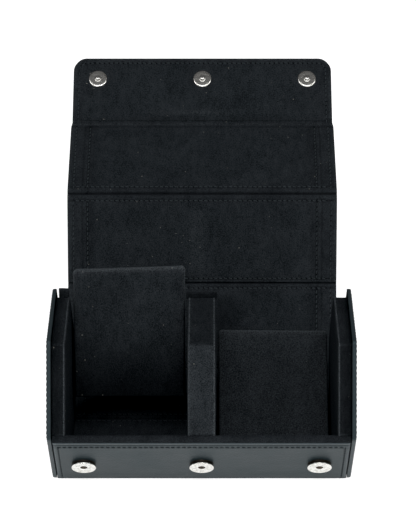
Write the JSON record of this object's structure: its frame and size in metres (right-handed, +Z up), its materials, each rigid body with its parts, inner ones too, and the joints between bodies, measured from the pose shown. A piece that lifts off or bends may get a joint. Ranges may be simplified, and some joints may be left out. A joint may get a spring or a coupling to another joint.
{
  "type": "jewelry box",
  "caption": "Hexagonal fold-open travel roll for watches or bracelets, with padded compartments, a folding leather lid and magnetic snaps.",
  "frame": {"origin": "middle of the underside of the case's floor, on the table", "axes": "+X along the roll to the right end cap, +Y to the back where the lid unrolls, +Z up"},
  "size_m": [0.172, 0.2797, 0.1476],
  "materials": {
    "black_leather": "satin",
    "black_suede": "matte",
    "stiffener_board": "matte",
    "foam": "matte",
    "nickel": "polished",
    "magnet": "satin",
    "steel_washer": "satin"
  },
  "bodies": {
    "case": {"end_board_left": "stiffener_board", "end_leather_left": "black_leather", "end_block_core_left": "foam", "end_block_cover_left": "black_suede", "end_board_right": "stiffener_board", "end_leather_right": "black_leather", "end_block_core_right": "foam", "end_block_cover_right": "black_suede", "divider_core": "foam", "divider_cover": "black_suede", "front_wall_leather": "black_leather", "front_wall_board": "stiffener_board", "front_wall_lining": "black_suede", "snap_socket_shells": "nickel", "snap_magnets": "magnet", "snap_socket_washers": "steel_washer", "floor_leather": "black_leather", "floor_board": "stiffener_board", "floor_lining": "black_suede"},
    "back_lower": {"back_lower_leather": "black_leather", "back_lower_board": "stiffener_board", "back_lower_lining": "black_suede"},
    "back_upper": {"back_upper_leather": "black_leather", "back_upper_board": "stiffener_board", "back_upper_lining": "black_suede"},
    "top_panel": {"top_panel_leather": "black_leather", "top_panel_board": "stiffener_board", "top_panel_lining": "black_suede"},
    "front_upper": {"front_upper_leather": "black_leather", "front_upper_board": "stiffener_board", "front_upper_lining": "black_suede"},
    "snap_flap": {"snap_flap_leather": "black_leather", "snap_flap_board": "stiffener_board", "snap_flap_lining": "black_suede", "snap_studs": "nickel", "snap_stud_washers": "steel_washer"},
    "left_pad": {"pad_core_left": "foam", "pad_cover_left": "black_suede"},
    "right_pad": {"pad_core_right": "foam", "pad_cover_right": "black_suede"}
  },
  "joints": [
    {"name": "lid_base_fold", "type": "hinge", "parent": "case", "child": "back_lower", "pos_m": [0, 0.0275, 0], "axis": [1, 0, 0], "range_deg": [0, 60]},
    {"name": "back_fold", "type": "hinge", "parent": "back_lower", "child": "back_upper", "pos_m": [0, 0.0825, 0], "axis": [1, 0, 0], "range_deg": [-40, 0]},
    {"name": "top_back_fold", "type": "hinge", "parent": "back_upper", "child": "top_panel", "pos_m": [0, 0.11, 0.04763], "axis": [1, 0, 0], "range_deg": [0, 53]},
    {"name": "top_front_fold", "type": "hinge", "parent": "top_panel", "child": "front_upper", "pos_m": [0, 0.13149, 0.09826], "axis": [1, 0, 0], "range_deg": [0, 108.5]},
    {"name": "flap_fold", "type": "hinge", "parent": "front_upper", "child": "snap_flap", "pos_m": [0, 0.18649, 0.11666], "axis": [1, 0, 0], "range_deg": [0, 34]},
    {"name": "left_pad_slide", "type": "slide", "parent": "case", "child": "left_pad", "axis": [0, -0.342, -0.9397], "range_m": [0, 0.03]},
    {"name": "right_pad_slide", "type": "slide", "parent": "case", "child": "right_pad", "axis": [0, -0.7793, -0.6266], "range_m": [-0.06, 0]}
  ],
  "couplings": [
    {"joint": "left_pad_slide", "follows": "lid_base_fold", "m_per_rad": 0.028648}
  ]
}
